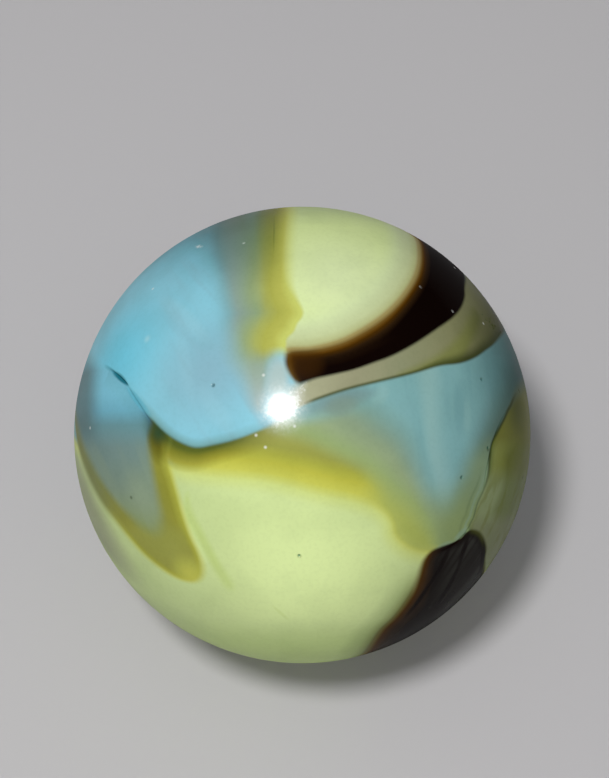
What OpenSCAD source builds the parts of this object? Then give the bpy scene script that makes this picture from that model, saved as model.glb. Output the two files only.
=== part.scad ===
// Machine-made glass marble: one fused ball of swirled opaque glass.
// Its rollers left it round, and the shearing and folding of the hot glass left a nick, a fold,
// a seam, a hair crack, a rough spot and a few pits in its skin. Each of them is cut here as the
// true hollow that it is. Places on the ball are [longitude, latitude] in degrees: longitude 0 is
// at +X and 90 at +Y, and latitude 90 is the top. The ball stands on the origin.

/* [Ball] */
// Diameter of the ball
ball_d = 16; // [12:0.5:25]

/* [Nick] */
// Length of the nick where the hot glass was sheared
nick_l = 1.5; // [0.8:0.05:1.8]
// Width of the nick at its middle
nick_w = 0.18; // [0.1:0.01:0.3]
// Depth of the nick at its middle
nick_depth = 0.1; // [0.08:0.01:0.15]

/* [Fold] */
// Length of the fold that runs on from the nick
fold_l = 2.2; // [2:0.1:3]
// Width of the fold's groove at its middle
fold_w = 0.12; // [0.08:0.01:0.2]
// Depth of the fold's groove at its middle
fold_depth = 0.04; // [0.02:0.005:0.05]

/* [Seam] */
// Length of the seam's upper arc
seam_upper_l = 3.6; // [2.5:0.1:4]
// Length of the seam's lower arc
seam_lower_l = 2.6; // [2:0.1:3]
// Width of the seam's groove at its middle
seam_w = 0.08; // [0.05:0.01:0.15]
// Depth of the seam's groove at its middle
seam_depth = 0.03; // [0.015:0.005:0.04]

/* [Hair crack] */
// Length of the hair crack
crack_l = 3.6; // [2.5:0.1:4.5]
// Width of the hair crack at its middle
crack_w = 0.06; // [0.04:0.01:0.1]
// Depth of the hair crack at its middle
crack_depth = 0.02; // [0.01:0.005:0.03]

/* [Rough spot] */
// Length of the rough spot
spot_l = 1.4; // [1:0.1:2]
// Width of the rough spot
spot_w = 0.6; // [0.5:0.05:1]
// Width of the largest pit in the rough spot
spot_pit_w = 0.13; // [0.08:0.01:0.16]
// Depth of the largest pit in the rough spot
spot_pit_depth = 0.05; // [0.03:0.005:0.06]

/* [Single pits] */
// Width of a single pit
pit_w = 0.12; // [0.08:0.01:0.2]
// Depth of a single pit
pit_depth = 0.05; // [0.03:0.005:0.08]

/* [Hidden] */

ball_r = ball_d / 2;
glass_colour = [0.82, 0.89, 0.60];

// Where each hollow lies, and its heading: 0 runs east, 90 runs north.
nick_at = [-174, 40.5];
nick_heading = -140;
fold_at = [-161, 45];
fold_heading = -166;
seam_upper_at = [-23, 32];
seam_upper_heading = -169;
seam_lower_at = [-45, 21];
seam_lower_heading = 10;
crack_at = [103, 59];
crack_heading = -101;
spot_at = [16, 33];
spot_heading = -105;
pit_places = [[-91, 33], [-8, 42], [-38, 35], [-144, 64], [-25, 33], [119, 60], [26, 57], [15, 50]];

// Angle at the ball's middle between a groove and the centre that it curves round.
fold_cone = 80;
seam_upper_cone = 18;
seam_lower_cone = 11;
crack_cone = 76;

// The rough spot's pits lie on a sunflower spiral, and each ring of them is smaller.
spot_pits = 11;
spiral_turn = 137.5;
least_pit = 0.5;

ball_sides = 240;
tool_sides = 24;

// Radius of a round tool that leaves a hollow of this width and depth.
function tool_r(width, depth) = (pow(width / 2, 2) + pow(depth, 2)) / (2 * depth);

// Turns the ball's top, with +X along the heading, to a place on the ball.
module at_place(place, heading = 0) {
    rotate([0, 90 - place[1], place[0]])
        rotate([0, 0, 90 + heading])
            children();
}

// A pit: the hollow that a small ball leaves.
module pit(place, width, depth) {
    tool = tool_r(width, depth);
    at_place(place)
        translate([0, 0, ball_r - depth + tool])
            sphere(r = tool, $fn = tool_sides);
}

// A notch: a wheel with a round rim dips into the ball, and leaves it at both ends of the notch.
module notch(place, heading, length, width, depth) {
    rim = tool_r(width, depth);
    wheel_r = 1 / (2 * depth / pow(length / 2, 2) - 1 / ball_r);
    at_place(place, heading)
        translate([0, 0, ball_r - depth + wheel_r])
            rotate([90, 0, 0])
                rotate_extrude($fn = ball_sides)
                    translate([wheel_r - rim, 0])
                        circle(r = rim, $fn = tool_sides);
}

// A groove along a small circle: a ring of round wire lies round the ball, set off its centre
// so that it sinks in at the groove's middle and comes out of the glass at both ends.
module groove(place, heading, cone, length, width, depth) {
    wire = tool_r(width, depth);
    level = ball_r * cos(cone);
    middle = sqrt(pow(ball_r + wire - depth, 2) - pow(level, 2));
    end = sqrt(pow(ball_r + wire, 2) - pow(level, 2));
    half_turn = length / 2 / (ball_r * sin(cone)) * 180 / PI;
    shift = (pow(end, 2) - pow(middle, 2)) / (2 * (middle - end * cos(half_turn)));
    at_place(place, heading)
        rotate([-cone, 0, 0])
            translate([0, shift, level])
                rotate_extrude($fn = ball_sides)
                    translate([middle + shift, 0])
                        circle(r = wire, $fn = tool_sides);
}

// A rough spot: an oval of pits, the largest at its middle.
module rough_spot(place, heading, length, width) {
    for (i = [0 : spot_pits - 1]) {
        reach = sqrt(i / spot_pits);
        size = 1 - (1 - least_pit) * reach;
        along = reach * length / 2 * cos(i * spiral_turn);
        across = reach * width / 2 * sin(i * spiral_turn);
        at_place(place, heading)
            rotate([-asin(across / ball_r), asin(along / ball_r), 0])
                translate([0, 0, ball_r - spot_pit_depth * size + tool_r(spot_pit_w, spot_pit_depth) * size])
                    sphere(r = tool_r(spot_pit_w, spot_pit_depth) * size, $fn = tool_sides);
    }
}

module marble() {
    color(glass_colour)
        translate([0, 0, ball_r])
            difference() {
                sphere(r = ball_r, $fn = ball_sides);
                notch(nick_at, nick_heading, nick_l, nick_w, nick_depth);
                groove(fold_at, fold_heading, fold_cone, fold_l, fold_w, fold_depth);
                groove(seam_upper_at, seam_upper_heading, seam_upper_cone, seam_upper_l, seam_w, seam_depth);
                groove(seam_lower_at, seam_lower_heading, seam_lower_cone, seam_lower_l, seam_w, seam_depth);
                groove(crack_at, crack_heading, crack_cone, crack_l, crack_w, crack_depth);
                rough_spot(spot_at, spot_heading, spot_l, spot_w);
                for (place = pit_places)
                    pit(place, pit_w, pit_depth);
            }
}

marble();
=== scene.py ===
"""A glass marble: the swirled ball with its nick, fold, seam and pits, on a plain floor in a studio."""

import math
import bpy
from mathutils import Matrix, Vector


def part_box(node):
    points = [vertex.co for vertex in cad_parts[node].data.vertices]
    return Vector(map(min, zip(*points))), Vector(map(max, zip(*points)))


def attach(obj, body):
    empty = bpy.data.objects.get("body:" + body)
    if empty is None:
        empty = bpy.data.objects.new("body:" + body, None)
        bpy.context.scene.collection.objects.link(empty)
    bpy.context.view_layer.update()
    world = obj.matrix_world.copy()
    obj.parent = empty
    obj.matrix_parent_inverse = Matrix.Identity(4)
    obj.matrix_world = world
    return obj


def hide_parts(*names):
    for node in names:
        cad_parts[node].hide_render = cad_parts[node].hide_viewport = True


bl_info = {
    "name": "Swirled Glass Marble",
    "version": (1, 0, 0),
    "blender": (4, 5, 0),
    "location": "3D View > Sidebar > Marble",
    "description": "Models a machine-made glass marble and sets it on a studio floor",
    "category": "Object",
}

import bpy
import numpy as np
from mathutils import Vector

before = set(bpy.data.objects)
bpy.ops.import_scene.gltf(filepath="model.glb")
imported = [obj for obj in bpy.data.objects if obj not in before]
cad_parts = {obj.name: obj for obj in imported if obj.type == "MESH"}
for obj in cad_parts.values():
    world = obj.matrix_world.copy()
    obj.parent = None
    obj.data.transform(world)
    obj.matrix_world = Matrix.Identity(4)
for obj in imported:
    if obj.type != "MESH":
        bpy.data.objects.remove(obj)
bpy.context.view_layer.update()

# ---------------- the ball's frame

BALL_LOW, BALL_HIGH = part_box("marble")
BALL_R = (BALL_HIGH.z - BALL_LOW.z) / 2
BALL_MIDDLE = Vector((0, 0, BALL_LOW.z + BALL_R))
MM = 0.001

# The camera looks down on the ball along +Y. Its frame, and the ball's place and radius in it, are
# in pixels from the frame's top left corner.
FRAME_SIZE = (609, 778)
BALL_PIXEL = (302.3, 434.4)
BALL_PIXEL_R = 228.2
FACE_TILT = math.radians(61.9)
VIEW_DISTANCE = 9.19 * BALL_R
SENSOR = 36
TO_CAMERA = Vector((0, -math.cos(FACE_TILT), math.sin(FACE_TILT)))
FACE_RIGHT = Vector((1, 0, 0))
FACE_UP = TO_CAMERA.cross(FACE_RIGHT)
# Where the key lamp's reflection lies on the face.
HIGHLIGHT = (-9, 12)


def face_direction(x, y):
    """The direction from the ball's middle to a point of its face.

    The face is what the ball shows to the camera. Its points are in hundredths of its radius, to
    the right and up. Past 100 they go on round the hidden side, which has its middle at 200.
    """
    reach = math.hypot(x, y) / 100
    turn = math.atan2(y, x)
    rim = math.asin(BALL_R / VIEW_DISTANCE)
    if reach < 1:
        ray = math.atan(reach * math.tan(rim))
        angle = math.asin(math.sin(ray) * VIEW_DISTANCE / BALL_R) - ray
    else:
        angle = math.pi / 2 - rim + (reach - 1) * (math.pi / 2 + rim)
    across = FACE_RIGHT * math.cos(turn) + FACE_UP * math.sin(turn)
    return TO_CAMERA * math.cos(angle) + across * math.sin(angle)


# ---------------- the fields of colour

# Each field of glass has a closed outline of face points: across, up, and how soft its edge is
# there, which a point leaves out where it is as soft as the one before. All three are in hundredths
# of the ball's radius.
FIELDS = {
    "sheet": (
        (-84.5, 28.5, 1), (-80, 25, 0.8), (-77, 21.7), (-74, 17.3), (-70, 11.5), (-65, 5.7), (-60, 0.8),
        (-54, -3.2), (-47, -5.7), (-40, -4.8), (-30, -2.4), (-20, 1.3, 0.9), (-12, 5, 1.5), (-6, 9),
        (-1, 12, 0.8), (8, 15.5), (20, 19.4), (34, 22.9), (48, 26.3), (60, 29.8), (69, 31), (75.5, 33.3),
        (80.5, 36.7), (85.5, 41, 1), (93, 53, 3), (90, 80, 8), (80, 115, 10), (20, 150), (-60, 140),
        (-110, 75), (-106, 38, 14), (-93, 32, 6),
    ),
    "top_mustard": (
        (-22, 99, 6), (-23, 88, 5), (-22.5, 75, 6), (-21.5, 60), (-22.5, 50, 4.5), (-22.5, 44, 3.5),
        (-21, 39, 3), (-17, 35.8, 3.5), (-10, 36), (-3, 36, 2), (4, 50, 3), (4, 70, 4), (4, 96),
        (2, 125, 6), (-20, 125),
    ),
    "top_lime": (
        (-4, 97, 4), (-5, 88), (-5.5, 78), (-5.3, 70, 3.5), (-4.5, 65, 2.5), (-2.3, 60, 1.5),
        (0.3, 54.5, 1), (0, 51.5, 0.8), (-2.2, 48.5), (-3.7, 45), (-6.3, 42.5), (-7, 40), (-5, 36),
        (15, 35, 2), (40, 47), (58, 64), (58, 88), (48, 115, 4), (15, 132, 6), (-3, 118, 5),
    ),
    "cream": (
        (-6, 17, 5), (-2, 10, 3), (10, 10, 2), (40, 18), (70, 25), (95, 40, 3), (112, 55, 8),
        (95, 85, 10), (75, 78, 4), (66, 60, 2), (50, 46), (30, 36), (8, 28), (-1, 23, 3),
    ),
    "olive_band": (
        (42, 25.5, 2), (52, 30.5, 2.5), (60, 35), (66, 40), (70.5, 45.5), (73, 51, 3), (75.5, 55),
        (78, 51, 2.5), (77, 45.5), (74, 40), (70, 33, 1.5), (60, 28), (50, 25),
    ),
    "ribbon": (
        (-6, 37, 1.6), (-7.6, 34, 1.4), (-7.4, 30.5, 1.2), (-6.1, 27), (-4, 23.9, 1.1),
        (-1.8, 22.1, 1.2), (0.6, 22.6), (6.2, 24.5, 1), (13.7, 26.2, 0.9), (22.5, 28.3, 0.8),
        (31, 31.2, 0.9), (40, 34.6), (50, 40), (60, 46.7), (66, 51), (69.5, 55), (71.4, 60, 1),
        (71.5, 65), (71, 71, 2), (76, 84, 3), (72, 100, 4), (60, 112), (49, 104), (46.5, 92, 3),
        (50, 86, 2.2), (51.6, 80, 1.8), (51.2, 74), (49.2, 68), (44.7, 61), (39.3, 55), (33.2, 50, 1.7),
        (25.7, 45.2, 1.6), (16, 40.5, 1.4), (4, 37.6, 1.2),
    ),
    "sage": (
        (-30, 8, 3), (-6, 7, 4), (1, 6.5), (9, 8.5, 5), (20, 12, 6), (29, 11, 9), (36, 6, 10),
        (44, -2, 9), (49, -12, 8), (53, -22, 7), (58, -31), (66, -37), (76, -44, 5), (70, -60),
        (40, -60), (0, -40), (-45, -20, 4),
    ),
    "mustard": (
        (-72, 12, 4), (-30, 12), (-12, 2), (0, -2), (10, -6.5), (20, -11.5), (28, -16, 4.5),
        (34, -21, 5), (40, -27, 6), (47, -33), (53, -40, 5), (57, -47, 4), (57, -56), (30, -50),
        (-20, -35), (-50, -22),
    ),
    "lime": (
        (-62, -14.5, 1.5), (-57.5, -13), (-50, -14.6, 1.8), (-40, -15.8, 2.2), (-28, -16.8, 2.6),
        (-16, -18.2, 3), (-4, -20.8, 3.2), (8, -24, 3), (20, -26.5), (30, -29.5, 2.6),
        (36.5, -33.5, 2.2), (39.8, -38, 1.8), (41, -43, 1.6), (44.5, -47.3, 1.4), (50, -50.2),
        (57, -51.6), (70, -55, 2), (92, -72, 4), (95, -98, 8), (50, -136, 10), (-15, -174), (-105, -130),
        (-138, -60), (-120, 0, 8), (-101, 0, 3), (-90, -10), (-75, -25),
    ),
    "tongue": (
        (-58.7, -10, 1.5), (-56.3, -19, 1.8), (-54, -27, 2), (-51.8, -35), (-48.5, -44.5),
        (-45.3, -51.5), (-43.4, -57.5, 2.6), (-43.8, -62, 2.2), (-46.5, -64.4, 1.8), (-51, -64.3, 1.6),
        (-56.5, -62.2, 1.8), (-63, -58, 2), (-70, -52, 2.4), (-76, -45.3, 2.6), (-82, -37.8, 3),
        (-87, -31.3, 3.2), (-91.5, -23.5, 3.4), (-95.3, -15), (-98, -6, 3), (-99.5, 4, 2), (-104, 20, 4),
        (-95, 38, 6), (-72, 25, 4), (-58, 4, 2),
    ),
    "tongue_core": (
        (-67.5, -2, 2.5), (-66.8, -10, 3), (-65, -20), (-63.3, -29, 3.5), (-62, -36, 4), (-63.5, -42, 5),
        (-69, -41.5, 4.5), (-75.5, -35.5, 3.5), (-81.5, -29, 3), (-86.6, -22), (-91.4, -14, 3.5),
        (-95.5, -5, 4), (-98.5, 5, 5), (-102, 18, 6), (-94, 36), (-72, 25, 4), (-66, 7, 2),
    ),
    "seam_patch": (
        (95, 19, 5), (91, 12, 2), (88.6, 7, 0.8), (85.5, 1, 0.7), (83, -4.5), (82, -11), (81.3, -18),
        (79.5, -24, 0.8), (76.7, -30), (75, -36, 0.9), (73.5, -43, 1), (80, -56, 3), (100, -68, 5),
        (128, -40, 8), (124, 5), (106, 22, 6),
    ),
    "dark_patch": (
        (53.5, -54.3, 2), (56.5, -51.2, 1.6), (60.4, -49.5, 1.1), (65.5, -47.6, 0.8), (69.3, -45.7),
        (71.6, -43.2), (74.2, -42, 0.9), (77.2, -42.8, 1.1), (79.2, -45.5, 1.3), (80.4, -50, 1.4),
        (79.8, -56), (82, -66, 3), (92, -85, 5), (78, -106, 6), (50, -118), (27, -106, 5), (29, -94, 3),
        (34, -86.5, 2.6), (40, -80.5, 2.4), (44.8, -74.5), (48.3, -69, 2.6), (50.5, -63),
        (51.9, -58, 2.4),
    ),
    "pool_streak": (
        (51, 30, 4), (59, 30, 5), (60, 12), (61, -4), (64, -17, 6), (65, -30), (62, -38), (58.5, -26, 4),
        (55.5, -12, 3), (54, -2, 2.6), (52.8, 12, 3),
    ),
    "haze": (
        (-20, 99, 8), (-17, 80, 6), (-17, 60), (-17, 48, 5), (-13, 40, 4), (-14, 30), (-15, 20),
        (-18, 11), (-22, 13), (-25.5, 24, 5), (-30, 34, 7), (-33, 45), (-35.5, 60), (-39.5, 74),
        (-46, 88, 8), (-52, 100, 9), (-45, 125), (-20, 125),
    ),
    # The darker half of the brown ribbon. Its lower side runs on beyond the ribbon.
    "ribbon_core": (
        (-2, 31, 3), (6, 32.5, 3.5), (16, 34), (26, 37.5), (36, 42.5), (44, 48.5), (50, 55), (54.5, 62),
        (57, 70), (57.5, 80), (55, 90), (60, 108, 4), (78, 100), (82, 80), (78, 58, 3), (68, 44),
        (40, 28), (16, 19), (2, 18), (-3, 24),
    ),
    "lime_streak": (
        (-50.5, -25, 1.5), (-49, -32, 2), (-44, -42), (-38, -53), (-31, -65, 3), (-33, -67),
        (-40.5, -56, 2), (-46, -46), (-51.5, -35),
    ),
}
# Small marks on the face: painted pale glints, dark specks and spots of painted glow round the
# highlight, and, from point to point, faint scratches with painted glints and the dark lines of the dark
# patch.
GLINTS = (
    (-25.6, 84), (-65.5, 64), (52, 64.6), (66, 53.9), (67, 73), (79.5, 48.5), (-20.3, -0.3),
    (-16.2, -5.6), (-17, 26), (-3.4, 3.6), (-93, 3),
)
SPECKS = ((-75, -27.5), (96.5, -19), (81.3, -6.8), (69.6, -19), (78.6, 24), (-39, 21.6), (-1.4, -53.2))
HIGHLIGHT_GLOW = ((-5.4, 14.8), (-3.6, 17.2), (-10, 6.5), (-14, 10))
SCRATCHES = (
    ((-75, 68), (-71, 71.5)), ((-1.5, 17.5), (2.6, 23.4)), ((-0.5, 17), (-5, 6)),
    ((-47, 83), (-43.5, 82)),
)
DARK_LINES = (
    ((66, -46), (55, -67)), ((60, -57), (43, -82)), ((73.5, -40), (67, -60)), ((71, -51), (54, -80)),
    ((79, -43), (76, -64)),
)
# A curve through an outline's points has this many steps from each to the next, and its edge is
# at least this soft.
CURVE_STEPS = 12
LEAST_SOFTNESS = 0.3
# Directions are compared with a curve in this many batches, to save memory.
BATCHES = 16
TINY = 1e-6


def smooth_outline(points):
    """A closed curve on the ball through an outline's points: directions, and softness at each."""
    corners = []
    for x, y, *given in points:
        softness = given[0] if given else softness
        corners.append([*face_direction(x, y), softness])
    corners = np.array(corners)
    before, after, beyond = np.roll(corners, 1, 0), np.roll(corners, -1, 0), np.roll(corners, -2, 0)
    curve = []
    for step in range(CURVE_STEPS):
        t = step / CURVE_STEPS
        weights = (-t + 2 * t**2 - t**3, 2 - 5 * t**2 + 3 * t**3, t + 4 * t**2 - 3 * t**3, t**3 - t**2)
        curve.append(sum(w * p for w, p in zip(weights, (before, corners, after, beyond))) / 2)
    curve = np.stack(curve, 1).reshape(-1, 4)
    directions = curve[:, :3] / np.linalg.norm(curve[:, :3], axis=1)[:, None]
    return directions, np.maximum(curve[:, 3], LEAST_SOFTNESS)


def flatten(directions, middle):
    """Flattens directions from the point opposite to middle, which stays outside of every outline."""
    side = middle.cross(Vector((0.3, 0.5, 0.8))).normalized()
    up = middle.cross(side)
    local = directions @ np.array([side, up, middle]).T
    return local[:, :2] / (1 + TINY + local[:, 2:])


def is_inside(points, outline):
    """Which flat points lie inside a flat closed outline."""
    inside = np.zeros(len(points), bool)
    for start, end in zip(outline, np.roll(outline, -1, 0)):
        crosses = (start[1] > points[:, 1]) != (end[1] > points[:, 1])
        if crosses.any():
            slope = (end[0] - start[0]) / (end[1] - start[1])
            inside ^= crosses & (points[:, 0] < start[0] + slope * (points[:, 1] - start[1]))
    return inside


def field_edges(directions, points):
    """For each direction: how far inside a field it lies by its edge's softness, and in hundredths
    of the ball's radius, and how far along the outline from its first point, as a fraction."""
    curve, softness = smooth_outline(points)
    after = np.roll(curve, -1, 0)
    softness_after = np.roll(softness, -1)
    middle = Vector(curve.mean(0)).normalized()
    nearest = np.concatenate([np.argmax(part @ curve.T, 1) for part in np.array_split(directions, BATCHES)])
    best = np.full(len(directions), np.inf)
    soft = np.ones(len(directions))
    along = np.zeros(len(directions))
    for first in (nearest, (nearest - 1) % len(curve)):
        run = after[first] - curve[first]
        offset = directions - curve[first]
        t = np.clip((offset * run).sum(1) / np.maximum((run * run).sum(1), TINY**2), 0, 1)
        gap = np.linalg.norm(offset - run * t[:, None], axis=1)
        closer = gap < best
        best[closer] = gap[closer]
        soft[closer] = (softness[first] + t * (softness_after[first] - softness[first]))[closer]
        along[closer] = ((first + t) / len(curve))[closer]
    inside = is_inside(flatten(directions, middle), flatten(curve, middle))
    signed = np.where(inside, best, -best) * 100
    return np.stack([signed / soft, signed, along], 1)


# ---------------- the hollows in the skin

# The ball's mesh is an icosphere with this many subdivisions. Near the hollows its faces are
# halved again, each time within a smaller margin of them.
BALL_STEPS = 7
MARGINS = (0.2 * MM, 0.1 * MM, 0.05 * MM)
# Each groove: its middle's longitude and latitude, its heading, the angle to the centre that it
# curves round, and how much painted shade its glass gets.
NICK = ((-174, 40.5), -140, 90, 1)
FOLD = ((-161, 45), -166, 80, 0.25)
SEAM_UPPER = ((-23, 32), -169, 18, 0.4)
SEAM_LOWER = ((-45, 21), 10, 11, 0.3)
CRACK = ((103, 59), -101, 76, 0.3)
# The rough spot: its middle and heading, and its pits, set out on a spiral and smaller outwards.
SPOT = (16, 33)
SPOT_HEADING = -105
SPOT_PITS = 11
SPIRAL_TURN = math.radians(137.5)
LEAST_PIT = 0.5
# Each single pit: longitude, latitude, and how much painted shade its glass gets.
PITS = (
    (-91, 33, 0.6), (-8, 42, 0.6), (-38, 35, 0.6), (-144, 64, 0.4), (-25, 33, 0.8), (119, 60, 0),
    (26, 57, 0), (15, 50, 0),
)


def ball_direction(longitude, latitude):
    """The direction from the ball's middle to a place on it, in degrees: longitude 90 is at +Y."""
    turn, rise = math.radians(longitude), math.radians(latitude)
    return Vector((math.cos(rise) * math.cos(turn), math.cos(rise) * math.sin(turn), math.sin(rise)))


def heading_axes(middle, heading):
    """The directions onward and to the left at a place on the ball: it heads east at 0, north at 90."""
    east = Vector((0, 0, 1)).cross(middle).normalized()
    north = middle.cross(east)
    turn = math.radians(heading)
    cos, sin = math.cos(turn), math.sin(turn)
    return east * cos + north * sin, north * cos - east * sin


def groove_depths(directions, place, heading, cone, length, width):
    """How deep a groove is at each direction, from 0 outside of it to 1 at its middle.

    It curves to its left round a centre that lies at the angle cone from its middle.
    """
    middle = ball_direction(*place)
    _, left = heading_axes(middle, heading)
    cone = math.radians(cone)
    pole = middle * math.cos(cone) + left * math.sin(cone)
    outward = (middle - pole * middle.dot(pole)).normalized()
    onward = pole.cross(outward)
    height = directions @ np.array(pole)
    sweep = np.arctan2(directions @ np.array(onward), directions @ np.array(outward))
    across = (np.arccos(np.clip(height, -1, 1)) - cone) * BALL_R
    along = sweep * math.sin(cone) * BALL_R
    taper = np.clip(1 - (along / (length / 2)) ** 2, 0, 1)
    side = across / (width / 2 * np.sqrt(np.maximum(taper, TINY)))
    return taper * np.clip(1 - side**2, 0, 1)


def pit_depths(directions, middle, width):
    """How deep a round pit is at each direction, from 0 outside of it to 1 at its middle."""
    gap = np.linalg.norm(directions - np.array(middle), axis=1) * BALL_R
    return np.clip(1 - (gap / (width / 2)) ** 2, 0, 1)


def vertex_directions(ball, middle=(0, 0, 0)):
    """The direction of each vertex from a middle in the object's own coordinates."""
    places = np.empty(len(ball.data.vertices) * 3)
    ball.data.vertices.foreach_get("co", places)
    places = places.reshape(-1, 3) - np.array(middle)
    return places / np.linalg.norm(places, axis=1)[:, None]


def hollows(directions, sizes, margin):
    """Each hollow's share of its full depth at each direction, that depth, and how much painted shade it
    gets.

    A margin widens it.
    """
    grooves = (
        (NICK, sizes.nick_l, sizes.nick_w, sizes.nick_depth),
        (FOLD, sizes.fold_l, sizes.fold_w, sizes.fold_depth),
        (SEAM_UPPER, sizes.seam_upper_l, sizes.seam_w, sizes.seam_depth),
        (SEAM_LOWER, sizes.seam_lower_l, sizes.seam_w, sizes.seam_depth),
        (CRACK, sizes.crack_l, sizes.crack_w, sizes.crack_depth),
    )
    found = [
        (groove_depths(directions, *line, length + 2 * margin, width + 2 * margin), depth, dark)
        for (*line, dark), length, width, depth in grooves
    ]
    for longitude, latitude, dark in PITS:
        middle = ball_direction(longitude, latitude)
        found.append((pit_depths(directions, middle, sizes.pit_w + 2 * margin), sizes.pit_depth, dark))
    middle = ball_direction(*SPOT)
    onward, left = heading_axes(middle, SPOT_HEADING)
    for index in range(SPOT_PITS):
        reach = math.sqrt(index / SPOT_PITS)
        size = 1 - (1 - LEAST_PIT) * reach
        along = reach * sizes.spot_l / 2 * math.cos(index * SPIRAL_TURN) / BALL_R
        across = reach * sizes.spot_w / 2 * math.sin(index * SPIRAL_TURN) / BALL_R
        pit = (middle + onward * along + left * across).normalized()
        share = pit_depths(directions, pit, sizes.spot_pit_w * size + 2 * margin)
        found.append((share, sizes.pit_depth * size, 1))
    return found


# ---------------- node expressions


class Value:
    """What comes out of a node. Python's operators on it add Math nodes, so it must be a number."""

    def __init__(self, graph, socket):
        self.graph = graph
        self.socket = socket

    def __add__(self, other):
        return self.graph.math("ADD", self, other)

    __radd__ = __add__

    def __sub__(self, other):
        return self.graph.math("SUBTRACT", self, other)

    def __rsub__(self, other):
        return self.graph.math("SUBTRACT", other, self)

    def __mul__(self, other):
        return self.graph.math("MULTIPLY", self, other)

    __rmul__ = __mul__


class Graph:
    """A tree of nodes that is written as expressions. The name of a tint stands for its colour."""

    def __init__(self, tree, tints=None):
        self.tree = tree
        self.tints = tints

    def feed(self, node, inputs):
        """Gives sockets of a node their values or links."""
        for name, value in inputs.items():
            if isinstance(value, Value):
                self.tree.links.new(value.socket, node.inputs[name])
            else:
                node.inputs[name].default_value = self.tints[value] if isinstance(value, str) else value

    def node(self, kind, settings=None, inputs=None):
        """Adds a node. Its settings go first, then the values or links of its sockets."""
        node = self.tree.nodes.new(kind)
        for name, value in (settings or {}).items():
            setattr(node, name, value)
        self.feed(node, inputs or {})
        return node

    def out(self, output, kind, settings=None, inputs=None):
        """Adds a node and gives one of its outputs."""
        return Value(self, self.node(kind, settings, inputs).outputs[output])

    def math(self, operation, *values):
        return self.out(0, "ShaderNodeMath", {"operation": operation}, dict(enumerate(values)))

    def vector(self, operation, inputs, output="Vector"):
        return self.out(output, "ShaderNodeVectorMath", {"operation": operation}, inputs)

    def mix(self, first, second, factor):
        """The first colour where the factor is 0, and the second where it is 1."""
        inputs = {0: factor, 6: first, 7: second}
        return self.out(2, "ShaderNodeMix", {"data_type": "RGBA"}, inputs)

    def tinted(self, colour, tint, factor):
        """A colour multiplied by another, as far as the factor says."""
        inputs = {0: factor, 6: colour, 7: tint}
        return self.out(2, "ShaderNodeMix", {"data_type": "RGBA", "blend_type": "MULTIPLY"}, inputs)

    def rise(self, value, low, high):
        """A soft step from 0 at low to 1 at high, or down again where low is the larger."""
        inputs = {"Value": value, "From Min": low, "From Max": high}
        return self.out("Result", "ShaderNodeMapRange", {"interpolation_type": "SMOOTHSTEP"}, inputs)

    def ramp(self, value, stops):
        """Colours along a value. A stop is the value and its tint."""
        low, high = stops[0][0], stops[-1][0]
        node = self.node("ShaderNodeValToRGB", None, {0: (value - low) * (1 / (high - low))})
        points = node.color_ramp.elements
        points.remove(points[1])
        points[0].position, points[0].color = 0, self.tints[stops[0][1]]
        for at, tint in stops[1:]:
            points.new((at - low) / (high - low)).color = self.tints[tint]
        return Value(self, node.outputs[0])

    def line(self, value, middle, width):
        """1 where a value is at the middle of a line, and 0 from half of its width on."""
        return self.rise(self.math("ABSOLUTE", value - middle), width / 2, 0)

    def combine(self, *values):
        """A vector made of three numbers."""
        return self.out(0, "ShaderNodeCombineXYZ", None, dict(enumerate(values)))

    def noise(self, place, scale, detail=2.0):
        """Cloudy noise from 0 to 1, the same on each run."""
        return self.out(0, "ShaderNodeTexNoise", None, {"Vector": place, "Scale": scale, "Detail": detail})


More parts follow.
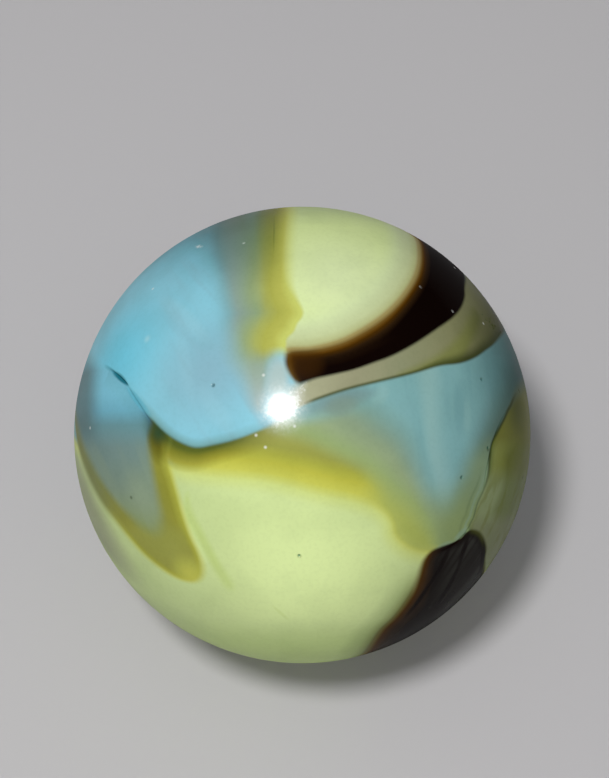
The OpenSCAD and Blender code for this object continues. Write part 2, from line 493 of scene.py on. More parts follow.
class Swirl(Graph):
    """The graph of the swirled glass, with the ball's own places and fields of colour."""

    def __init__(self, tree, tints):
        super().__init__(tree, tints)
        place = self.out("Object", "ShaderNodeTexCoord")
        centred = self.vector("SUBTRACT", {0: place, 1: tuple(BALL_MIDDLE)})
        self.place = self.vector("SCALE", {0: centred, "Scale": 1 / BALL_R})
        self.across = self.dot(FACE_RIGHT)
        self.up = self.dot(FACE_UP)

    def dot(self, axis):
        """How far along an axis a place lies, in hundredths of the ball's radius."""
        return self.vector("DOT_PRODUCT", {0: self.place, 1: tuple(axis)}, "Value") * 100

    def near(self, point, reach):
        """1 at a point of the face, and softly down to 0 at this reach from it."""
        gap = self.vector("DISTANCE", {0: self.place, 1: tuple(face_direction(*point))}, "Value") * 100
        return self.rise(gap, reach, 0)

    def stroke(self, start, end, width):
        """1 along a stroke between two points of the face, and softly down to 0 at its ends and sides."""
        start, end = face_direction(*start), face_direction(*end)
        middle, onward = (start + end).normalized(), (end - start).normalized()
        along = self.dot(onward) * (2 / (end - start).length / 100)
        aside = self.dot(middle.cross(onward)) * (1 / width)
        return self.rise(along * along + aside * aside, 1, 0) * self.rise(self.dot(middle), 0, 30)

    def spots(self, places, reach):
        """1 at each of some points of the face, and 0 from this reach on."""
        found = 0
        for place in places:
            found = self.math("MAXIMUM", found, self.near(place, reach))
        return found

    def streaks(self, turn, length, width, detail=2.0):
        """Noise from 0 to 1, drawn out along a direction of the face: 0 runs right and 90 runs up."""
        turn = math.radians(turn)
        along = self.dot(FACE_RIGHT * math.cos(turn) + FACE_UP * math.sin(turn)) * (1 / length)
        aside = self.dot(FACE_UP * math.cos(turn) - FACE_RIGHT * math.sin(turn)) * (1 / width)
        return self.noise(self.combine(along, aside, self.dot(TO_CAMERA) * (1 / length)), 1, detail)

    def field(self, name):
        """How far inside a field a place lies, by its edge's softness and in hundredths of the ball's
        radius, and how far along its outline."""
        vector = self.out("Vector", "ShaderNodeAttribute", {"attribute_name": name})
        split = self.node("ShaderNodeSeparateXYZ", None, {0: vector})
        return tuple(Value(self, output) for output in split.outputs)

    def inside(self, name):
        """1 inside a field and 0 outside of it, with the softness of its own edge between them."""
        return self.rise(self.field(name)[0], -1, 1)


# ---------------- the glass


def band_ramp(graph, gap):
    """The band between mustard and lime, by how far it lies from their border."""
    return graph.ramp(gap, (
        (-18, "mustard_low"), (-12.5, "mustard_dull"), (-9, "mustard"), (-5.5, "mustard_rich"),
        (-1.5, "yellow"), (0.5, "yellow_lime"), (3, "lime_edge"),
    ))


def lime_colour(graph, gap):
    """The lower lime: palest near its foot, greener with painted shade at the bottom rim, and with painted
    shade in a strip along the left rim.
    """
    near, mix, rise, stroke = graph.near, graph.mix, graph.rise, graph.stroke
    lime = mix("lime_shade", "lime", near((2, -58), 80))
    lime = mix(lime, "lime_pale", near((0, -66), 40) * 0.9)
    streak = graph.inside("lime_streak")
    lime = mix(lime, "lime_pale", stroke((-56, -26), (-41, -58), 4) * 0.5)
    lime = mix(lime, "lime_green", streak * 0.55)
    lime = mix(lime, "lime_green", stroke((-14, -74), (-5, -82), 1.2) * 0.25)
    # Painted shade in a strip along the left rim.
    lime = mix(lime, "left_rim_shade", stroke((-101, 4), (-65, -69), 22))
    # Greener lime towards the bottom rim, with painted shade there.
    lime = mix(lime, "green_foot_and_shade", rise(graph.up, -74, -90))
    return mix(band_ramp(graph, gap), lime, rise(gap, 0.5, 9))


def pool_colour(graph):
    """What shows below the blue sheet: thin blue, sage and mustard round the lower lime."""
    up, across, mix, rise, stroke = graph.up, graph.across, graph.mix, graph.rise, graph.stroke
    seam_gap = graph.field("seam_patch")[1]
    pool = mix("pool_blue", "pool_deep", rise(graph.streaks(-82, 70, 7), 0.48, 0.7) * 0.6)
    pool = mix(pool, "pale_blue", graph.inside("pool_streak") * 0.8)
    pool = mix(pool, "pale_blue", stroke((31, 12), (38, 23), 4) * 0.5)
    pool = mix(pool, "pale_blue", stroke((72, 18), (72, -2), 3) * 0.35)
    pool = mix(pool, "pool_deep", stroke((68, 26), (68, -4), 4) * 0.7)
    pool = mix(pool, "hair_blue", stroke((-4, 9), (36, 20), 5))
    beside = mix("rim_sage", "rim_teal", rise(up, -14, 4))
    pool = mix(pool, beside, rise(seam_gap + rise(up, 2, -20) * 7, -18, -1) * rise(across, 54, 64))
    # Painted shade towards the right rim.
    pool = mix(pool, "right_rim_shade", rise(across, 62, 94) * rise(up, -2, 28) * 0.85)
    pool = mix(pool, "pool_foot", rise(up, -16, -38) * rise(across, 44, 54))
    sage = graph.ramp(graph.field("mustard")[1], (
        (-22, "sage_far"), (-15, "sage_cool"), (-9, "sage"), (-3, "sage_near"),
    ))
    pool = mix(pool, sage, graph.inside("sage") * rise(across, 60, 50))
    # Painted shade under the cream's edge.
    pool = mix(pool, "murk", stroke((8, 11), (26, 14), 5) * 0.6)
    edge, gap, _ = graph.field("lime")
    right = rise(across, 20, 36)
    mustard = mix(band_ramp(graph, gap), "mustard_green", right)
    pool = mix(pool, mustard, graph.inside("mustard"))
    pool = mix(pool, "bulb_edge", rise(gap, -4, -1) * rise(across, 33, 40) * 0.6)
    return mix(pool, lime_colour(graph, gap), rise(edge, -1, 1))


def tongue_colour(graph, pool):
    """The tongue: a ring of mustard round thin blue that greys towards its tip."""
    up, across, mix, rise = graph.up, graph.across, graph.mix, graph.rise
    edge, gap, _ = graph.field("tongue")
    ring = graph.ramp(gap, ((0, "yellow"), (2, "mustard"), (5, "mustard_deep"), (12, "olive")))
    ring = mix(ring, "mustard_dull", rise(up, -34, -42) * rise(gap, 2, 5) * 0.8)
    ring = mix(ring, "yellow", graph.near((-49, -61), 12) * 0.8)
    ring = mix(ring, "rim_olive", rise(across, -70, -88))
    pool = mix(pool, ring, rise(edge, -1, 1))
    core = graph.ramp(up, (
        (-40, "tongue_tip"), (-22, "tongue_sage"), (-5, "tongue_grey"), (4, "tongue_blue"),
        (10, "tongue_root"), (17, "tongue_sky"),
    ))
    core = mix(core, "tongue_pale", graph.near((-70, -26), 16) * 0.7)
    core = mix(core, "rim_grey", rise(across, -82, -92) * rise(up, -10, 4) * 0.85)
    veils = rise(graph.streaks(-66, 60, 6), 0.42, 0.66)
    core = mix(core, "tongue_pale", veils * rise(up, 2, -10) * 0.3)
    return mix(pool, core, graph.inside("tongue_core"))


def top_band(graph):
    """The haze and the mustard at the left of the upper lime, by how far they lie from it, with painted shade
    towards the top rim.
    """
    gap = graph.field("top_lime")[1] - graph.rise(graph.up, 52, 74) * 2
    gap = gap + graph.rise(graph.up, 46, 92) * graph.rise(gap, -17, -34) * 7
    band = graph.ramp(gap, (
        (-32, "haze_blue"), (-27.5, "haze"), (-23.5, "haze_green"), (-20, "haze_sage"),
        (-16.5, "mustard_sage"), (-12.5, "mustard_top"), (-9, "mustard_bright"),
        (-5, "mustard_light"), (-1.5, "yellow_lime"),
    ))
    # Painted shade towards the top rim.
    dusk = graph.ramp(graph.up, ((58, "bright"), (80, "dusk"), (96, "top_rim_deep_shade")))
    return graph.tinted(band, dusk, graph.rise(gap, -3, -11))


def sheet_colour(graph):
    """The sheet of sky blue that lies over the rest, and what is folded into it."""
    up, across, mix, rise, stroke = graph.up, graph.across, graph.mix, graph.rise, graph.stroke
    near = graph.near
    _, gap, along = graph.field("sheet")
    sheet = mix("sky_blue", "azure", near((-80, 34), 36))
    sheet = mix(sheet, "mist", near((-41, 28), 33))
    # Darker teal towards the top rim: partly the sheet's own colour, partly painted shade.
    sheet = mix(sheet, "teal", rise(up, 60, 92))
    wisps = graph.math("MAXIMUM", stroke((-64, 62), (-38, 38), 5), stroke((-47, 24), (-27, -4), 5) * 0.6)
    wisps = graph.math("MAXIMUM", wisps, stroke((-54, 52), (-46, 8), 4) * 0.5)
    sheet = mix(sheet, "pale_sky", wisps * 0.35)
    sheet = mix(sheet, "mist", rise(graph.streaks(-52, 50, 7), 0.46, 0.7) * rise(across, -62, -48) * 0.4)
    band = top_band(graph)
    foot = graph.ramp(up, ((14, "haze_pale"), (24, "haze_foot"), (33, "haze_sage")))
    sheet = mix(sheet, mix(band, foot, rise(up, 38, 26)), graph.inside("haze"))
    sheet = mix(sheet, "pale_mist", stroke((-12, 12), (-9.5, 37), 6))
    sheet = mix(sheet, band, graph.inside("top_mustard"))
    lime_edge, _, _ = graph.field("top_lime")
    lime = mix("lime", "lime_top", near((18, 68), 44))
    # Painted shade towards the top rim.
    lime = mix(lime, "lime_shade", rise(up, 86, 98))
    ribbon_edge, ribbon_gap, _ = graph.field("ribbon")
    by_ribbon = graph.ramp(ribbon_gap, (
        (-12, "lime_shadow"), (-5, "lime_grey"), (-2, "lime_dull"), (-0.5, "lime_brown"),
    ))
    lime = mix(lime, by_ribbon, rise(ribbon_gap, -18, -7))
    sheet = mix(sheet, lime, rise(lime_edge, -1, 1))
    cream = graph.ramp(across, (
        (4, "cream"), (20, "cream_warm"), (40, "cream_grey"), (60, "cream_olive"),
        (69, "cream_dark"), (82, "olive_dark"),
    ))
    sheet = mix(sheet, cream, graph.inside("cream"))
    band = mix("olive_glass", "olive_dark", rise(across, 62, 80))
    sheet = mix(sheet, band, graph.inside("olive_band"))
    depth = ribbon_gap * (1 + rise(across, 30, 46) * 0.35)
    amber = graph.ramp(depth, (
        (0, "amber_light"), (1.4, "amber"), (2.4, "amber_dull"), (3.3, "amber_deep"),
        (5, "umber"), (8, "brown"),
    ))
    brown = mix(amber, "brown", graph.inside("ribbon_core"))
    brown = mix(brown, "brown_light", stroke((-10, 30), (12, 32), 9) * 0.6)
    brown = mix(brown, "amber_deep", near((-8.5, 31), 6) * 0.8)
    sheet = mix(sheet, brown, rise(ribbon_edge, -1, 1))
    reach = 1.8 + rise(across, 44, 66) * 4
    hairline = rise(gap, reach, 0.4) * rise(across, -2, 6) * rise(along, 0.8, 0.73)
    return mix(sheet, mix("hairline", "olive_black", rise(across, 54, 68)), hairline * 0.9)


def seam_colour(graph, colour):
    """Beyond the seam at the right, and the dark patch below it."""
    up, across, mix, rise, line = graph.up, graph.across, graph.mix, graph.rise, graph.line
    edge, gap, along = graph.field("seam_patch")
    patch = graph.ramp(gap, (
        (0, "patch_edge"), (4, "patch_olive"), (9, "patch_dull"), (16, "patch_deep"),
        (28, "patch_rim"),
    ))
    patch = mix(patch, "patch_brown", rise(up, -8, 0))
    patch = mix(patch, "olive_black", graph.near((94, 12), 20) * 0.6)
    lower = mix("patch_sage", "patch_low", rise(gap, 10, 18))
    lower = mix(lower, "patch_grey", rise(up, -31, -40))
    patch = mix(patch, lower, rise(up, -12, -24))
    flecks = rise(graph.streaks(70, 16, 3, 4.0), 0.5, 0.68)
    patch = mix(patch, "patch_deep", flecks * rise(up, -12, -24) * 0.45)
    colour = mix(colour, patch, rise(edge, -1, 1))
    seen = rise(along, 0, 0.05) * rise(along, 0.7, 0.64)
    low = rise(up, -10, -22) * rise(up, -46, -40) * seen
    colour = mix(colour, "seam_dark", (line(gap, -5.5, 3) * 0.5 + line(gap, 0, 2.4)) * low * 0.55)
    colour = mix(colour, "seam_pale", line(gap, -2.6, 3) * low * 0.6)
    colour = mix(colour, "seam_pale", graph.stroke((73, -40), (65.5, -47.5), 2.6) * 0.8)
    colour = mix(colour, "seam_pale", graph.stroke((67, -47), (57, -51), 2.6) * 0.7)
    colour = mix(colour, "olive_black", line(gap, 0, 3.2) * rise(up, -24, -8) * seen * 0.9)
    dark_edge, dark_gap, _ = graph.field("dark_patch")
    halo = graph.ramp(dark_gap, (
        (-15, "bright"), (-7, "halo"), (-3, "halo_dull"), (-1, "halo_brown"),
    ))
    colour = graph.tinted(colour, halo, rise(across, 54, 44) * (0.2 + rise(up, -52, -68) * 0.8))
    # The patch is brown at its left edge only.
    dark = graph.ramp(dark_gap + rise(across, 50, 58) * 12, (
        (-0.5, "amber_smoke"), (2, "amber_deep"), (6, "umber"), (14, "brown"),
    ))
    strands = 0.35 + rise(graph.streaks(56, 60, 3, 3.0), 0.38, 0.62) * 0.65
    # Grey streaks in the dark patch, with painted reflection growing towards the right rim.
    dark = mix(dark, "grey_streaks_and_reflection", rise(dark_gap, 1, 5) * (0.2 + rise(across, 52, 68) * 0.6) * strands)
    dark = mix(dark, "patch_deep", rise(dark_gap, 3, 0) * rise(across, 66, 72) * 0.4)
    for start, end in DARK_LINES:
        dark = mix(dark, "brown", graph.stroke(start, end, 2.2) * 0.9)
    return mix(colour, dark, rise(dark_edge, -1, 0.6))


def swirl_colour(graph):
    """The colour of the swirled glass."""
    across, mix, rise, stroke = graph.across, graph.mix, graph.rise, graph.stroke
    pool = tongue_colour(graph, pool_colour(graph))
    edge, gap, along = graph.field("sheet")
    # Painted shade: the sheet's rolled edge is darkened, and a painted shadow darkens the glass that it lies
    # over.
    rolled = rise(across, 2, -38) * (0.15 + rise(across, -67, -59) * 0.85) * rise(along, 0.8, 0.73)
    under = graph.ramp(gap * (1 - graph.near((-55, -5), 24) * 0.5), (
        (-8, "bright"), (-4.5, "shadow"), (-2.5, "deep_shadow"), (-1, "black_shadow"),
    ))
    pool = graph.tinted(pool, under, rolled * 0.95)
    # Painted shadow down the tongue's ring below the sheet's edge, and painted shade in the corner beside it.
    pool = graph.tinted(pool, "shadow", stroke((-67, 6), (-62, -15), 4.5) * 0.9)
    pool = mix(pool, "shade", graph.near((-63, 1), 7))
    sheet = sheet_colour(graph)
    # Painted shade along the nick.
    sheet = mix(sheet, "nick_shade", stroke((-87, 31), (-76, 21), 1.8) * 0.7)
    sheet = mix(sheet, "nick_shade", stroke((-83, 27.5), (-76, 20.5), 2.6))
    # Painted shade on the sheet's rolled edge.
    fold = graph.ramp(gap, ((-0.5, "rolled_edge_shade"), (1.2, "rolled_edge_light_shade"), (4, "bright")))
    sheet = graph.tinted(sheet, fold, rolled * 0.95)
    colour = mix(pool, sheet, rise(edge, -1, 1))
    colour = mix(colour, "fold_line", stroke((-78, 22.5), (-65, 7), 2.2) * 0.8)
    return seam_colour(graph, colour)


def marked_colour(graph, colour):
    """The glass with its cloudiness and specks, a painted glow round the highlight, and painted glints along
    scratches and at single points.
    """
    mix, rise = graph.mix, graph.rise
    cloud = graph.noise(graph.place, 5, 3.0)
    colour = graph.tinted(colour, "cloud", rise(cloud, 0.42, 0.66) * 0.5)
    grain = graph.noise(graph.place, 60, 1.0)
    colour = graph.tinted(colour, "cloud", rise(grain, 0.45, 0.7) * 0.25)
    colour = mix(colour, "bubble", graph.near((-68, 42), 2.6) * 0.5)
    colour = graph.tinted(colour, "speck", graph.spots(SPECKS, 1.3) * 0.8)
    glint_grain = rise(graph.noise(graph.place, 75, 2.0), 0.42, 0.64)
    # Painted highlight: a pale glow round the key lamp's reflection, broken up by grain.
    highlight_glow = graph.math("MAXIMUM", graph.near(HIGHLIGHT, 13), graph.spots(HIGHLIGHT_GLOW, 6))
    colour = mix(colour, "glint", highlight_glow * (0.4 + glint_grain * 0.4))
    # Painted glints along the scratches.
    for start, end in SCRATCHES:
        colour = mix(colour, "glint", graph.stroke(start, end, 1.6) * (0.1 + glint_grain * 0.5))
    return mix(colour, "glint", graph.spots(GLINTS, 1) * 0.7)


def build_glass(tints):
    """The material of the ball."""
    material = bpy.data.materials.new("swirled_glass")
    material.use_nodes = True
    graph = Swirl(material.node_tree, tints)
    colour = swirl_colour(graph)
    hollow = graph.out("Fac", "ShaderNodeAttribute", {"attribute_name": "hollow"})
    # Painted shade in the hollows.
    colour = graph.tinted(colour, "hollow", graph.rise(hollow, 0, 0.8))
    graph.feed(material.node_tree.nodes["Principled BSDF"], {
        "Base Color": marked_colour(graph, colour),
        "Roughness": 0.35,
        "Specular IOR Level": 0,
        # The darkest glass has a thinner skin of gloss.
        "Coat Weight": 0.25 - graph.inside("dark_patch") * 0.12 - graph.inside("ribbon") * 0.17,
        "Coat Roughness": 0.15,
    })
    return material


# ---------------- properties


def number_property(name, description, default, unit="NONE"):
    return bpy.props.FloatProperty(name=name, description=description, default=default, unit=unit)


def size_property(name, description, default):
    """A length, which is given in millimetres."""
    return number_property(name, description, default * MM, "LENGTH")


def colour_property(name, description, default):
    return bpy.props.FloatVectorProperty(name=name, description=description, default=default, subtype="COLOR")


class MarbleSizes(bpy.types.PropertyGroup):
    """Sizes of the hollows in the ball's skin."""

    nick_l: size_property("Nick length", "Length of the nick where the hot glass was sheared", 1.5)
    nick_w: size_property("Nick width", "Width of the nick at its middle", 0.18)
    nick_depth: size_property("Nick depth", "Depth of the nick at its middle", 0.1)
    fold_l: size_property("Fold length", "Length of the fold that runs on from the nick", 2.2)
    fold_w: size_property("Fold width", "Width of the fold's groove", 0.12)
    fold_depth: size_property("Fold depth", "Depth of the fold's groove", 0.04)
    seam_upper_l: size_property("Upper seam length", "Length of the seam's upper arc", 3.6)
    seam_lower_l: size_property("Lower seam length", "Length of the seam's lower arc", 2.6)
    seam_w: size_property("Seam width", "Width of the seam's groove", 0.08)
    seam_depth: size_property("Seam depth", "Depth of the seam's groove", 0.03)
    crack_l: size_property("Crack length", "Length of the hair crack", 3.6)
    crack_w: size_property("Crack width", "Width of the hair crack", 0.06)
    crack_depth: size_property("Crack depth", "Depth of the hair crack", 0.02)
    spot_l: size_property("Rough spot length", "Length of the rough spot", 1.4)
    spot_w: size_property("Rough spot width", "Width of the rough spot", 0.6)
    spot_pit_w: size_property("Rough spot pit width", "Width of the spot's largest pit", 0.13)
    pit_w: size_property("Pit width", "Width of a single pit", 0.12)
    pit_depth: size_property("Pit depth", "Depth of a pit", 0.05)


# Each tint of the glass: what it is for, and its red, green and blue.
TINTS = {
    "lime": ("The two large fields", 0.64, 0.765, 0.34),
    "lime_pale": ("Foot of the lower field", 0.72, 0.86, 0.385),
    # Lime darkened towards the sides, and painted shade at the top rim.
    "lime_shade": ("Thinner lime at the sides", 0.51, 0.625, 0.28),
    "lime_green": ("Streak in the lower field", 0.46, 0.59, 0.15),
    # Greener lime with painted shade at the bottom rim.
    "green_foot_and_shade": ("Below the lower field", 0.49, 0.62, 0.24),
    "lime_edge": ("Lime beside the yellow", 0.57, 0.65, 0.21),
    "lime_shadow": ("Lime a little off the ribbon", 0.59, 0.69, 0.39),
    "lime_grey": ("Lime near the ribbon", 0.53, 0.6, 0.32),
    "lime_brown": ("Lime at the ribbon", 0.36, 0.31, 0.12),
    "yellow_lime": ("Between yellow and lime", 0.535, 0.58, 0.14),
    "yellow": ("Where mustard meets lime", 0.525, 0.535, 0.09),
    "mustard": ("Band above the lower lime", 0.365, 0.375, 0.055),
    "mustard_green": ("Right end of the band", 0.375, 0.43, 0.105),
    "mustard_top": ("Band beside the upper lime", 0.35, 0.383, 0.105),
    "mustard_bright": ("Middle of the top mustard", 0.39, 0.4, 0.078),
    "mustard_sage": ("Outer side of the top mustard", 0.27, 0.35, 0.165),
    "mustard_deep": ("Ring round the tongue", 0.275, 0.275, 0.038),
    "olive": ("Inner side of the ring", 0.25, 0.26, 0.055),
    "olive_glass": ("Band under the cream", 0.205, 0.222, 0.07),
    "olive_dark": ("End of the cream", 0.058, 0.063, 0.011),
    "sage": ("Between mustard and blue", 0.272, 0.355, 0.198),
    # Painted shade under the cream's edge.
    "murk": ("Grey glass under the cream", 0.19, 0.265, 0.215),
    "sky_blue": ("The sheet at its edge", 0.235, 0.545, 0.65),
    "azure": ("The sheet at the left", 0.16, 0.555, 0.7),
    "mist": ("The sheet's greyer middle", 0.225, 0.42, 0.5),
    "pale_mist": ("Beside the ribbon's blunt end", 0.37, 0.49, 0.475),
    # Teal towards the top: partly the sheet's own colour, partly painted shade.
    "teal": ("The sheet at the top", 0.11, 0.32, 0.385),
    "haze_pale": ("Foot of the haze", 0.315, 0.405, 0.385),
    "haze_green": ("Middle of the haze", 0.235, 0.335, 0.29),
    "haze": ("Haze beside the top mustard", 0.185, 0.33, 0.335),
    "pool_blue": ("Thin blue at the right", 0.2, 0.395, 0.4),
    "pale_blue": ("Pale veil in the thin blue", 0.255, 0.44, 0.42),
    "pool_foot": ("Foot of the thin blue", 0.226, 0.297, 0.122),
    "rim_sage": ("Thin blue near the seam", 0.2, 0.285, 0.165),
    # Painted shade on the thin blue at the right rim.
    "right_rim_shade": ("Thin blue at the right rim", 0.02, 0.07, 0.07),
    "rim_teal": ("Thin blue near the seam, higher up", 0.09, 0.155, 0.128),
    "tongue_root": ("The tongue at the sheet", 0.15, 0.4, 0.505),
    "tongue_sky": ("The tongue beside the fold", 0.19, 0.5, 0.62),
    "tongue_blue": ("Blue part of the tongue", 0.13, 0.275, 0.3),
    "tongue_grey": ("The tongue's middle", 0.16, 0.25, 0.235),
    "tongue_sage": ("Lower part of the tongue", 0.185, 0.255, 0.19),
    "tongue_pale": ("Pale side of the tongue", 0.25, 0.325, 0.215),
    "tongue_tip": ("The tongue's tip", 0.25, 0.31, 0.115),
    "rim_olive": ("Ring at the left rim", 0.19, 0.215, 0.075),
    "rim_grey": ("The tongue at the left rim", 0.11, 0.18, 0.18),
    "cream": ("Cream ribbon at its left", 0.354, 0.358, 0.222),
    "cream_warm": ("Cream ribbon", 0.285, 0.284, 0.172),
    "cream_grey": ("Cream ribbon in its middle", 0.262, 0.276, 0.158),
    "cream_olive": ("Cream ribbon at the right", 0.235, 0.24, 0.12),
    "cream_dark": ("Cream ribbon at the rim", 0.175, 0.18, 0.08),
    "amber_light": ("Edge of the brown", 0.24, 0.17, 0.05),
    "amber": ("Just inside the brown's edge", 0.15, 0.085, 0.016),
    "amber_deep": ("Further inside the brown", 0.055, 0.022, 0.0015),
    "amber_smoke": ("Edge of the dark patch", 0.125, 0.085, 0.015),
    "brown": ("Dark brown glass", 0.004, 0.0015, 0.001),
    "brown_light": ("The ribbon's blunt end", 0.04, 0.015, 0.002),
    "hairline": ("Dark line under the cream", 0.05, 0.065, 0.016),
    "shade": ("Shade under the sheet's edge", 0.035, 0.07, 0.028),
    "patch_edge": ("Along the seam", 0.125, 0.17, 0.045),
    "patch_olive": ("Beyond the seam", 0.203, 0.232, 0.056),
    "patch_deep": ("Further beyond the seam", 0.122, 0.142, 0.02),
    "patch_rim": ("Beyond the seam, at the rim", 0.14, 0.158, 0.04),
    "patch_sage": ("Beyond the seam, lower down", 0.225, 0.275, 0.13),
    "seam_dark": ("Lines along the seam", 0.08, 0.12, 0.05),
    "lime_top": ("Middle of the upper field", 0.66, 0.77, 0.415),
    # Painted shade along the left rim.
    "left_rim_shade": ("Along the left rim", 0.335, 0.375, 0.215),
    "lime_dull": ("Lime close to the ribbon", 0.46, 0.49, 0.235),
    "mustard_low": ("Far side of the lower band", 0.328, 0.338, 0.082),
    "mustard_dull": ("Next to the low mustard", 0.305, 0.32, 0.065),
    "mustard_rich": ("Near the yellow", 0.46, 0.455, 0.06),
    "bulb_edge": ("Rim of the lower band's round end", 0.42, 0.47, 0.12),
    "mustard_light": ("Beside the upper lime", 0.448, 0.456, 0.092),
    "haze_blue": ("Outer side of the haze", 0.19, 0.41, 0.455),
    "haze_sage": ("Inner side of the haze", 0.25, 0.345, 0.235),
    "haze_foot": ("Lower part of the haze", 0.285, 0.375, 0.305),
    "sage_near": ("Sage beside the mustard", 0.285, 0.375, 0.155),
    "sage_cool": ("Further from the mustard", 0.235, 0.32, 0.21),
    "sage_far": ("Furthest from the mustard", 0.195, 0.29, 0.2),
    "hair_blue": ("Blue under the hairline", 0.172, 0.285, 0.28),
    "pale_sky": ("Wisps in the sheet", 0.3, 0.56, 0.64),
    "pool_deep": ("Darker veils in the thin blue", 0.165, 0.345, 0.355),
    "olive_black": ("Dark glass at the right rim", 0.03, 0.04, 0.008),
    "amber_dull": ("Next to the amber", 0.105, 0.046, 0.005),
    "umber": ("Next to the dark glass", 0.025, 0.012, 0.004),
    # Grey streaks, with painted reflection towards the right rim.
    "grey_streaks_and_reflection": ("Streaks in the dark patch", 0.035, 0.035, 0.029),
    "patch_dull": ("Next to the patch olive", 0.18, 0.205, 0.042),
    "patch_brown": ("Upper part of the patch", 0.145, 0.155, 0.026),
    "patch_low": ("Beyond the seam, low at the rim", 0.15, 0.185, 0.065),
    "patch_grey": ("Foot of the patch", 0.185, 0.21, 0.105),
    "seam_pale": ("Pale line beside the seam", 0.235, 0.34, 0.225),
    "cloud": ("Tint of the glass where it is cloudy", 0.88, 0.89, 0.88),
    "speck": ("Tint of the dark specks", 0.3, 0.32, 0.25),
    # Painted shade in the hollows.
    "hollow": ("Tint of the glass in a hollow", 0.1, 0.4, 0.42),
    # Painted glints, and the painted glow round the highlight.
    "glint": ("Pale glints", 0.75, 0.78, 0.74),
    "bubble": ("Bubble in the sheet", 0.42, 0.66, 0.7),
    "bright": ("Glass that nothing shades", 1, 1, 1),
    # Painted shade on the top haze towards the rim.
    "dusk": ("Tint of the top haze near the rim", 0.64, 0.69, 0.7),
    "top_rim_deep_shade": ("Tint of the top haze at the rim", 0.5, 0.52, 0.5),
    "halo": ("Tint round the dark patch", 0.72, 0.73, 0.7),
    "halo_dull": ("Tint close to the dark patch", 0.46, 0.455, 0.38),
    "halo_brown": ("Tint at the dark patch's edge", 0.24, 0.21, 0.13),
    "shadow": ("Tint near the rolled edge", 0.62, 0.6, 0.5),
    "deep_shadow": ("Tint close to the rolled edge", 0.42, 0.43, 0.36),
    "black_shadow": ("Tint at the rolled edge", 0.2, 0.26, 0.3),
    "fold_line": ("Below the nick", 0.1, 0.38, 0.48),
    # Painted shade along the nick.
    "nick_shade": ("Along the nick", 0.015, 0.17, 0.22),
    # Painted shade on and just inside the sheet's rolled edge.
    "rolled_edge_shade": ("Tint on the rolled edge", 0.45, 0.4, 0.25),
    "rolled_edge_light_shade": ("Tint just inside the rolled edge", 0.75, 0.7, 0.62),
}


class MarbleTints(bpy.types.PropertyGroup):
    """Colours of the glass."""

    __annotations__ = {
        key: colour_property(key.replace("_", " ").capitalize(), use, colour)
        for key, (use, *colour) in TINTS.items()
    }


class StudioSettings(bpy.types.PropertyGroup):
    """Floor, lamps and sky."""

    floor_size: size_property("Floor size", "Width of the floor", 1200)
    floor_colour: colour_property("Floor", "Colour of the floor", (0.50, 0.49, 0.50))
    key_radius: size_property("Key radius", "Radius of the round key lamp", 10.5)
    key_distance: size_property("Key distance", "From the glass to the key lamp", 120)
    key_power: number_property("Key power", "Power of the key lamp", 0.118, "POWER")
    glint_radius: size_property("Glint radius", "Radius of the lamp that only the gloss shows", 6)
    glint_power: number_property("Glint power", "Power of the lamp that only the gloss shows", 0.62, "POWER")
    sky_front: number_property("Sky front", "Soft light from the front", 0.5)
    sky_back: number_property("Sky back", "Soft light from behind", 0.18)


# ---------------- operators


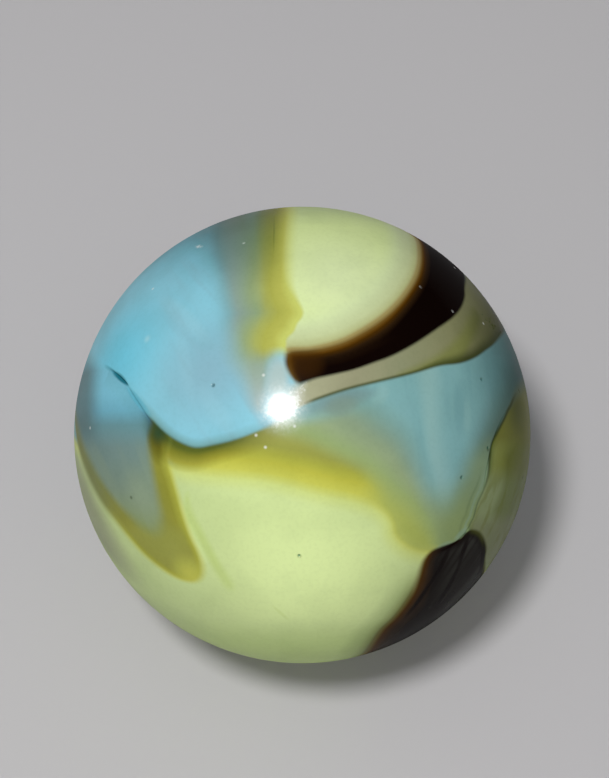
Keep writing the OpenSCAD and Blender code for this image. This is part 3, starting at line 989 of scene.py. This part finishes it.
class MARBLE_OT_ball(bpy.types.Operator):
    """Models the glass ball and sinks the hollows into its skin"""

    bl_idname = "marble.ball"
    bl_label = "Glass ball"

    def execute(self, context):
        sizes = context.scene.marble_sizes
        bpy.ops.object.select_all(action="DESELECT")
        bpy.ops.mesh.primitive_ico_sphere_add(subdivisions=BALL_STEPS, radius=BALL_R, location=BALL_MIDDLE)
        ball = context.active_object
        ball.name = "glass_ball"
        for margin in MARGINS:
            self.refine(ball, sizes, margin)
        self.round_off(ball)
        self.sink(ball, sizes)
        bpy.ops.object.shade_smooth()
        bpy.ops.object.transform_apply(location=True, rotation=False, scale=False)
        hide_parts("marble")
        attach(ball, "root")
        return {"FINISHED"}

    def refine(self, ball, sizes, margin):
        """Halves the edges of the faces within a margin of the hollows."""
        mesh = ball.data
        corners = vertex_directions(ball)
        wanted = np.max([share for share, *_ in hollows(corners, sizes, margin)], 0) > 0
        triangles = np.empty(len(mesh.polygons) * 3, int)
        mesh.polygons.foreach_get("vertices", triangles)
        chosen = wanted[triangles.reshape(-1, 3)].any(1)
        for items in (mesh.vertices, mesh.edges, mesh.polygons):
            items.foreach_set("select", np.zeros(len(items), bool))
        mesh.polygons.foreach_set("select", chosen)
        bpy.ops.object.mode_set(mode="EDIT")
        bpy.ops.mesh.select_mode(type="FACE")
        bpy.ops.mesh.subdivide(number_cuts=1, smoothness=0)
        bpy.ops.mesh.select_all(action="SELECT")
        bpy.ops.mesh.quads_convert_to_tris()
        bpy.ops.object.mode_set(mode="OBJECT")

    def round_off(self, ball):
        """Brings every vertex back onto the ball."""
        cast = ball.modifiers.new("round", "CAST")
        cast.cast_type = "SPHERE"
        cast.factor = 1
        cast.use_radius_as_size = False
        cast.size = BALL_R
        bpy.ops.object.modifier_apply(modifier=cast.name)

    def sink(self, ball, sizes):
        """Sinks the hollows into the skin, and keeps each vertex's painted shade from them as an attribute.
        """
        depths = hollows(vertex_directions(ball), sizes, 0)
        depth = np.max([share * full for share, full, _ in depths], 0)
        deepest = depth.max()
        group = ball.vertex_groups.new(name="hollows")
        for index in np.flatnonzero(depth):
            group.add([int(index)], depth[index] / deepest, "REPLACE")
        # How much painted shade each vertex gets from the hollows.
        shades = np.max([share * dark for share, _, dark in depths], 0)
        ball.data.attributes.new("hollow", "FLOAT", "POINT").data.foreach_set("value", shades)
        press = ball.modifiers.new("press", "DISPLACE")
        press.direction = "NORMAL"
        press.vertex_group = group.name
        press.mid_level = 0
        press.strength = -deepest
        bpy.ops.object.modifier_apply(modifier=press.name)


class MARBLE_OT_swirl(bpy.types.Operator):
    """Lays the fields of colour out over the ball and gives it its glass"""

    bl_idname = "marble.swirl"
    bl_label = "Swirled glass"

    def execute(self, context):
        ball = bpy.data.objects.get("glass_ball")
        if ball is None:
            raise RuntimeError("make the glass ball first")
        directions = vertex_directions(ball, BALL_MIDDLE)
        for name, points in FIELDS.items():
            attribute = ball.data.attributes.new(name, "FLOAT_VECTOR", "POINT")
            attribute.data.foreach_set("vector", field_edges(directions, points).ravel())
        tints = context.scene.marble_tints
        material = build_glass({name: (*getattr(tints, name), 1) for name in TINTS})
        ball.data.materials.clear()
        ball.data.materials.append(material)
        return {"FINISHED"}


class MARBLE_OT_studio(bpy.types.Operator):
    """Sets up the floor, the lamps and the camera"""

    bl_idname = "marble.studio"
    bl_label = "Studio"

    def execute(self, context):
        studio = context.scene.marble_studio
        self.floor(studio)
        key = self.lamp("key_lamp", studio.key_distance, studio.key_radius, studio.key_power)
        key.visible_glossy = False
        glint = self.lamp("glint_lamp", studio.key_distance, studio.glint_radius, studio.glint_power)
        glint.visible_diffuse = False
        self.sky(context, studio)
        self.camera(context)
        context.scene.view_settings.view_transform = "Standard"
        return {"FINISHED"}

    def floor(self, studio):
        bpy.ops.object.select_all(action="DESELECT")
        bpy.ops.mesh.primitive_plane_add(size=studio.floor_size)
        floor = bpy.context.active_object
        floor.name = "floor"
        material = bpy.data.materials.new("plain_floor")
        material.use_nodes = True
        inputs = {"Base Color": (*studio.floor_colour, 1), "Roughness": 0.9, "Specular IOR Level": 0}
        Graph(material.node_tree).feed(material.node_tree.nodes["Principled BSDF"], inputs)
        floor.data.materials.append(material)

    def lamp(self, name, distance, radius, power):
        """Puts a round lamp where the camera sees its reflection at the highlight's place."""
        spot = face_direction(*HIGHLIGHT)
        glass = BALL_MIDDLE + spot * BALL_R
        to_camera = (BALL_MIDDLE + TO_CAMERA * VIEW_DISTANCE - glass).normalized()
        to_lamp = 2 * spot.dot(to_camera) * spot - to_camera
        bpy.ops.object.light_add(type="AREA", location=glass + to_lamp * distance)
        lamp = bpy.context.active_object
        lamp.name = name
        lamp.rotation_euler = (-to_lamp).to_track_quat("-Z", "Y").to_euler()
        lamp.data.shape = "DISK"
        lamp.data.size = 2 * radius
        lamp.data.energy = power
        return lamp

    def sky(self, context, studio):
        """Soft light all round, brighter in front of the ball than behind it."""
        world = bpy.data.worlds.new("studio_sky")
        context.scene.world = world
        world.use_nodes = True
        graph = Graph(world.node_tree)
        direction = graph.out("Generated", "ShaderNodeTexCoord")
        back = graph.out("Y", "ShaderNodeSeparateXYZ", None, {0: direction})
        glow = studio.sky_front + (back * 0.5 + 0.5) * (studio.sky_back - studio.sky_front)
        graph.feed(world.node_tree.nodes["Background"], {"Strength": glow, "Color": (1, 1, 1, 1)})
        # The sky lights the glass and doesn't veil it with its own reflection.
        world.cycles_visibility.glossy = False

    def camera(self, context):
        width, height = FRAME_SIZE
        focal = BALL_PIXEL_R * math.sqrt((VIEW_DISTANCE / BALL_R) ** 2 - 1)
        right = (BALL_PIXEL[0] - width / 2) / focal
        up = (height / 2 - BALL_PIXEL[1]) / focal
        aim = -TO_CAMERA - right * FACE_RIGHT - up * FACE_UP
        bpy.ops.object.camera_add(location=BALL_MIDDLE + TO_CAMERA * VIEW_DISTANCE)
        camera = bpy.context.active_object
        camera.name = "camera"
        camera.rotation_euler = aim.to_track_quat("-Z", "Y").to_euler()
        camera.data.sensor_width = SENSOR
        camera.data.lens = focal / height * SENSOR
        camera.data.clip_start = 5 * MM
        camera.data.dof.use_dof = False
        context.scene.camera = camera


class MARBLE_PT_panel(bpy.types.Panel):
    """Lists the marble's steps and settings"""

    bl_label = "Glass Marble"
    bl_idname = "MARBLE_PT_panel"
    bl_space_type = "VIEW_3D"
    bl_region_type = "UI"
    bl_category = "Marble"

    def draw(self, context):
        layout = self.layout
        scene = context.scene
        for group in (scene.marble_sizes, scene.marble_tints, scene.marble_studio):
            box = layout.box()
            for name in group.__annotations__:
                box.prop(group, name)
        for step in STEPS:
            layout.operator(step.bl_idname)


STEPS = (MARBLE_OT_ball, MARBLE_OT_swirl, MARBLE_OT_studio)
CLASSES = (MarbleSizes, MarbleTints, StudioSettings, *STEPS, MARBLE_PT_panel)


def register():
    for each in CLASSES:
        bpy.utils.register_class(each)
    bpy.types.Scene.marble_sizes = bpy.props.PointerProperty(type=MarbleSizes)
    bpy.types.Scene.marble_tints = bpy.props.PointerProperty(type=MarbleTints)
    bpy.types.Scene.marble_studio = bpy.props.PointerProperty(type=StudioSettings)


def unregister():
    del bpy.types.Scene.marble_studio
    del bpy.types.Scene.marble_tints
    del bpy.types.Scene.marble_sizes
    for each in reversed(CLASSES):
        bpy.utils.unregister_class(each)


def main():
    register()
    bpy.ops.marble.ball()
    bpy.ops.marble.swirl()
    bpy.ops.marble.studio()


if __name__ == "__main__":
    main()
